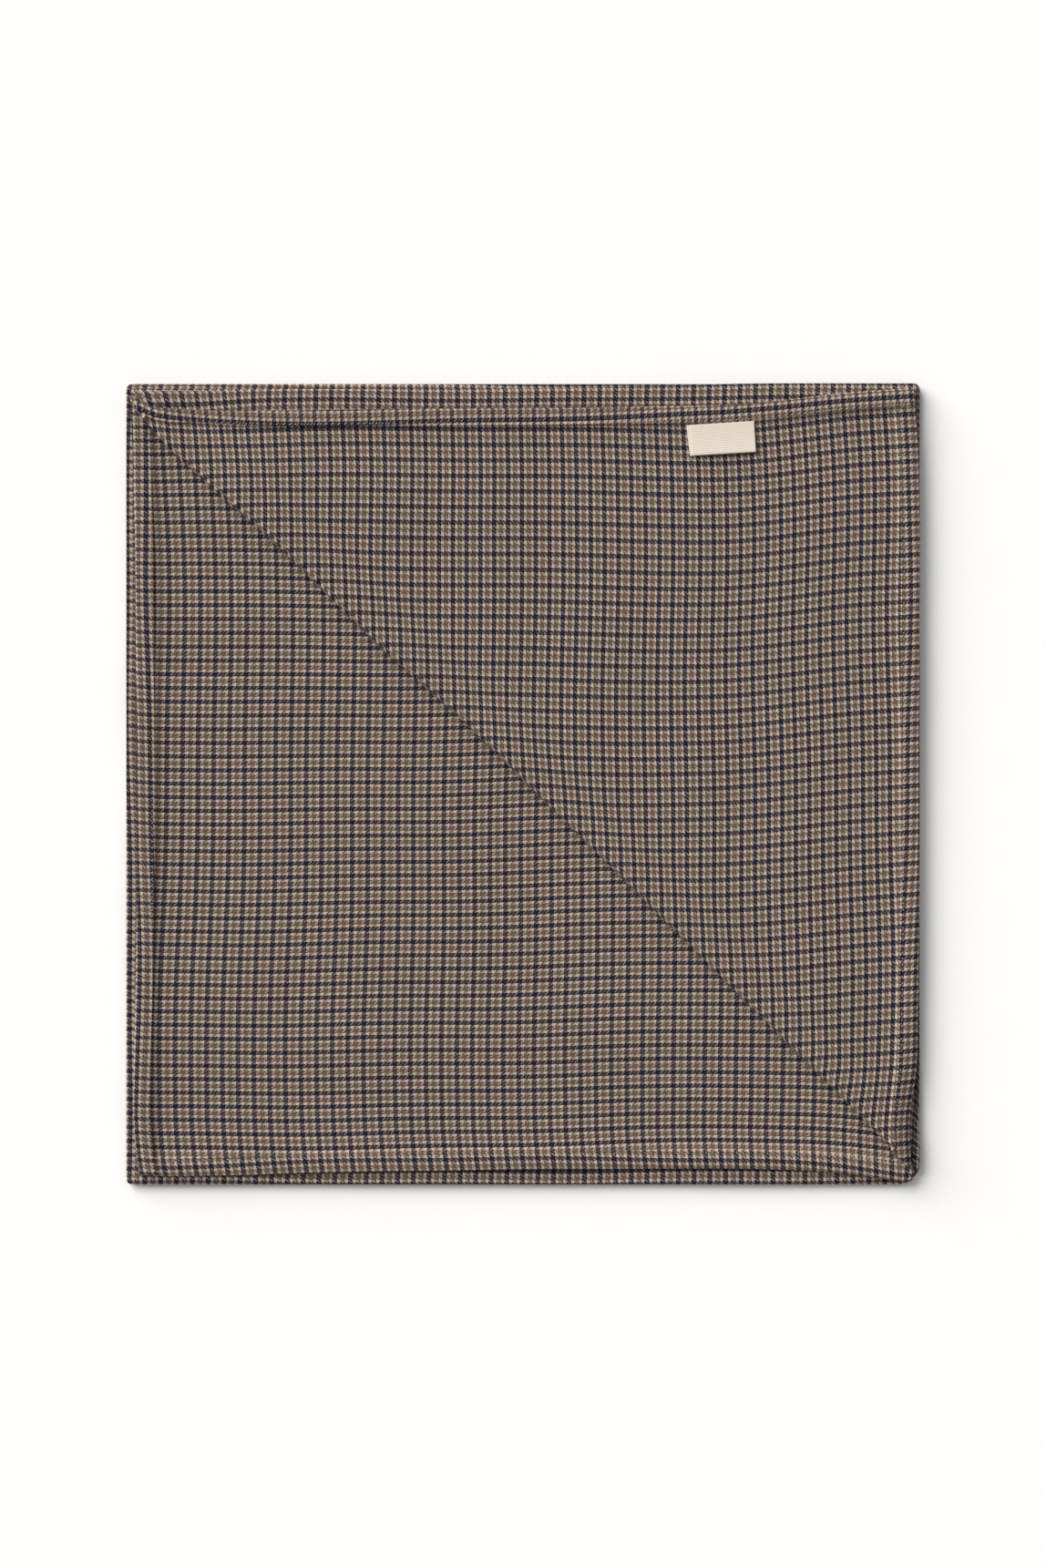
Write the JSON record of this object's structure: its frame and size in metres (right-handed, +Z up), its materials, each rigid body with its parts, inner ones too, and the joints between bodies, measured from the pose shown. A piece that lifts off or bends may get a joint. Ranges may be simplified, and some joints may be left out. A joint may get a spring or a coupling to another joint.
{
  "type": "folded square scarf",
  "caption": "Square woven scarf in houndstooth, hemmed on all sides, folded in quarters with a corner turned back along the diagonal and a small bare label at its hem.",
  "frame": {"origin": "middle of the flat underside of the folded stack", "axes": "+Z up through the layers, +X towards the right crease, where two quarters turn over, +Y towards the back crease, with the open corner at -X -Y"},
  "size_m": [0.3506, 0.3538, 0.0101],
  "materials": {
    "cloth": "matt twill in navy, cream and taupe houndstooth",
    "label": "matt ribbed tape"
  },
  "bodies": {
    "root": {"cloth": "cloth", "label": "label"}
  },
  "joints": []
}
